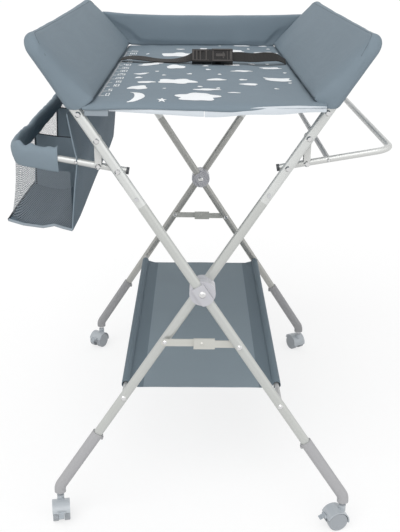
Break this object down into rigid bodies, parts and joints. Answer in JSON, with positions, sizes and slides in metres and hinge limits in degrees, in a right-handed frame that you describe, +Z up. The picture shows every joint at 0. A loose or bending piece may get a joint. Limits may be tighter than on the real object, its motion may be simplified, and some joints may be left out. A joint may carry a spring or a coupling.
{
  "type": "folding changing table",
  "caption": "Folding nursery changing table: crossing tube legs on castors, padded top with raised sides and safety strap, hanging bag, towel rack, fabric shelf.",
  "frame": {"origin": "on the floor, under the middle of the table", "axes": "X to the right, Y away from the user, Z up"},
  "size_m": [0.7126, 0.8958, 1.0152],
  "materials": {
    "painted_tube": "satin",
    "leg_end_plastic": "satin",
    "hub_plastic": "satin",
    "castor_plastic": "satin",
    "black_plastic": "satin",
    "webbing": "matte",
    "board_plastic": "matte",
    "bolt_steel": "polished",
    "slate_fabric": "matte"
  },
  "bodies": {
    "hub": {"hub_bolts": "bolt_steel", "shelf_sling": "slate_fabric", "bolster_rear": "slate_fabric", "table_pad": "slate_fabric", "strap_left": "webbing", "strap_right": "webbing", "buckle_body": "black_plastic"},
    "frame_right": {"leg_front_right": "painted_tube", "leg_rear_right": "painted_tube", "u_tube_right": "painted_tube", "leg_end_front_left": "leg_end_plastic", "leg_end_rear_left": "leg_end_plastic", "table_rod_right": "painted_tube", "shelf_rod_left": "painted_tube", "rack_frame": "painted_tube", "rack_cross_bar": "painted_tube", "strap_plates_right": "painted_tube", "arm_caps_right": "black_plastic", "bolts_right": "bolt_steel", "bolster_right": "slate_fabric", "hub_discs_right": "hub_plastic", "castor_stems_left": "bolt_steel"},
    "stay_front_left": {"stay_front_left": "painted_tube"},
    "stay_rear_left": {"stay_rear_left": "painted_tube"},
    "board_right": {"board_right": "board_plastic"},
    "snap_buttons_right": {"snap_buttons_right": "bolt_steel"},
    "frame_left": {"leg_front_left": "painted_tube", "leg_rear_left": "painted_tube", "u_tube_left": "painted_tube", "leg_end_front_right": "leg_end_plastic", "leg_end_rear_right": "leg_end_plastic", "table_rod_left": "painted_tube", "shelf_rod_right": "painted_tube", "bag_frame": "painted_tube", "bag_cross_bar": "painted_tube", "strap_plates_left": "painted_tube", "arm_caps_left": "black_plastic", "bolts_left": "bolt_steel", "bolster_left": "slate_fabric", "hub_discs_left": "hub_plastic", "castor_stems_right": "bolt_steel", "bag": "slate_fabric"},
    "stay_front_right": {"stay_front_right": "painted_tube"},
    "stay_rear_right": {"stay_rear_right": "painted_tube"},
    "board_left": {"board_left": "board_plastic"},
    "snap_buttons_left": {"snap_buttons_left": "bolt_steel"},
    "castor_front_left": {"castor_front_left_housing": "castor_plastic"},
    "castor_front_left_wheels": {"castor_front_left_wheels": "castor_plastic"},
    "castor_front_left_brake": {"castor_front_left_brake": "castor_plastic"},
    "castor_front_right": {"castor_front_right_housing": "castor_plastic"},
    "castor_front_right_wheels": {"castor_front_right_wheels": "castor_plastic"},
    "castor_front_right_brake": {"castor_front_right_brake": "castor_plastic"},
    "castor_rear_left": {"castor_rear_left_housing": "castor_plastic"},
    "castor_rear_left_wheels": {"castor_rear_left_wheels": "castor_plastic"},
    "castor_rear_left_brake": {"castor_rear_left_brake": "castor_plastic"},
    "castor_rear_right": {"castor_rear_right_housing": "castor_plastic"},
    "castor_rear_right_wheels": {"castor_rear_right_wheels": "castor_plastic"},
    "castor_rear_right_brake": {"castor_rear_right_brake": "castor_plastic"},
    "buckle_tongue": {"buckle_tongue": "black_plastic"}
  },
  "joints": [
    {"name": "fold_right", "type": "hinge", "parent": "hub", "child": "frame_right", "pos_m": [0, 0, 0.534], "axis": [0, -1, 0], "range_deg": [0, 22], "deforming": ["shelf_sling", "bolster_rear", "table_pad", "strap_left", "strap_right"]},
    {"name": "stay_front_left_pivot", "type": "hinge", "parent": "frame_right", "child": "stay_front_left", "pos_m": [-0.07298, -0.395, 0.42162], "axis": [0, -1, 0], "range_deg": [0, 47.49]},
    {"name": "stay_rear_left_pivot", "type": "hinge", "parent": "frame_right", "child": "stay_rear_left", "pos_m": [-0.07298, 0.425, 0.42162], "axis": [0, -1, 0], "range_deg": [0, 47.49]},
    {"name": "board_right_hinge", "type": "hinge", "parent": "frame_right", "child": "board_right", "pos_m": [0.22003, 0, 0.87282], "axis": [0, -1, 0], "range_deg": [0, 66]},
    {"name": "snap_buttons_right_press", "type": "slide", "parent": "frame_right", "child": "snap_buttons_right", "axis": [0, 1, 0], "range_m": [0, 0.0024], "stiffness_N_per_m": 900},
    {"name": "fold_left", "type": "hinge", "parent": "hub", "child": "frame_left", "pos_m": [0, 0, 0.534], "axis": [0, 1, 0], "range_deg": [0, 22], "deforming": ["shelf_sling", "bolster_rear", "table_pad", "strap_left", "strap_right"]},
    {"name": "stay_front_right_pivot", "type": "hinge", "parent": "frame_left", "child": "stay_front_right", "pos_m": [0.07298, -0.425, 0.42162], "axis": [0, 1, 0], "range_deg": [0, 47.49]},
    {"name": "stay_rear_right_pivot", "type": "hinge", "parent": "frame_left", "child": "stay_rear_right", "pos_m": [0.07298, 0.395, 0.42162], "axis": [0, 1, 0], "range_deg": [0, 47.49]},
    {"name": "board_left_hinge", "type": "hinge", "parent": "frame_left", "child": "board_left", "pos_m": [-0.22003, 0, 0.87282], "axis": [0, 1, 0], "range_deg": [0, 66]},
    {"name": "snap_buttons_left_press", "type": "slide", "parent": "frame_left", "child": "snap_buttons_left", "axis": [0, 1, 0], "range_m": [0, 0.0024], "stiffness_N_per_m": 900},
    {"name": "castor_front_left_swivel", "type": "hinge", "parent": "frame_right", "child": "castor_front_left", "pos_m": [-0.29901, -0.395, 0.05], "axis": [0, 0, 1], "continuous": true},
    {"name": "castor_front_left_roll", "type": "hinge", "parent": "castor_front_left", "child": "castor_front_left_wheels", "pos_m": [-0.29658, -0.40879, 0.021], "axis": [0.9848, 0.1736, 0], "continuous": true},
    {"name": "castor_front_left_brake_press", "type": "hinge", "parent": "castor_front_left", "child": "castor_front_left_brake", "pos_m": [-0.2923, -0.43306, 0.0325], "axis": [0.9848, 0.1736, 0], "range_deg": [0, 20]},
    {"name": "castor_front_right_swivel", "type": "hinge", "parent": "frame_left", "child": "castor_front_right", "pos_m": [0.29901, -0.425, 0.05], "axis": [0, 0, 1], "continuous": true},
    {"name": "castor_front_right_roll", "type": "hinge", "parent": "castor_front_right", "child": "castor_front_right_wheels", "pos_m": [0.28548, -0.42862, 0.021], "axis": [0.2588, -0.9659, 0], "continuous": true},
    {"name": "castor_front_right_brake_press", "type": "hinge", "parent": "castor_front_right", "child": "castor_front_right_brake", "pos_m": [0.26167, -0.435, 0.0325], "axis": [0.2588, -0.9659, 0], "range_deg": [0, 20]},
    {"name": "castor_rear_left_swivel", "type": "hinge", "parent": "frame_right", "child": "castor_rear_left", "pos_m": [-0.29901, 0.425, 0.05], "axis": [0, 0, 1], "continuous": true},
    {"name": "castor_rear_left_roll", "type": "hinge", "parent": "castor_rear_left", "child": "castor_rear_left_wheels", "pos_m": [-0.30601, 0.41288, 0.021], "axis": [0.866, -0.5, 0], "continuous": true},
    {"name": "castor_rear_left_brake_press", "type": "hinge", "parent": "castor_rear_left", "child": "castor_rear_left_brake", "pos_m": [-0.31833, 0.39153, 0.0325], "axis": [0.866, -0.5, 0], "range_deg": [0, 20]},
    {"name": "castor_rear_right_swivel", "type": "hinge", "parent": "frame_left", "child": "castor_rear_right", "pos_m": [0.29901, 0.395, 0.05], "axis": [0, 0, 1], "continuous": true},
    {"name": "castor_rear_right_roll", "type": "hinge", "parent": "castor_rear_right", "child": "castor_rear_right_wheels", "pos_m": [0.29201, 0.40712, 0.021], "axis": [-0.866, -0.5, 0], "continuous": true},
    {"name": "castor_rear_right_brake_press", "type": "hinge", "parent": "castor_rear_right", "child": "castor_rear_right_brake", "pos_m": [0.27968, 0.42847, 0.0325], "axis": [-0.866, -0.5, 0], "range_deg": [0, 20]},
    {"name": "buckle_pull", "type": "slide", "parent": "hub", "child": "buckle_tongue", "axis": [-1, 0, 0], "range_m": [0, 0.03], "deforming": ["strap_left"]}
  ],
  "couplings": [
    {"joint": "stay_front_left_pivot", "follows": "fold_right", "ratio": 2.1587},
    {"joint": "stay_rear_left_pivot", "follows": "fold_right", "ratio": 2.1587},
    {"joint": "board_right_hinge", "follows": "fold_right", "ratio": 3},
    {"joint": "fold_left", "follows": "fold_right", "ratio": 1},
    {"joint": "stay_front_right_pivot", "follows": "fold_right", "ratio": 2.1587},
    {"joint": "stay_rear_right_pivot", "follows": "fold_right", "ratio": 2.1587},
    {"joint": "board_left_hinge", "follows": "fold_right", "ratio": 3}
  ]
}
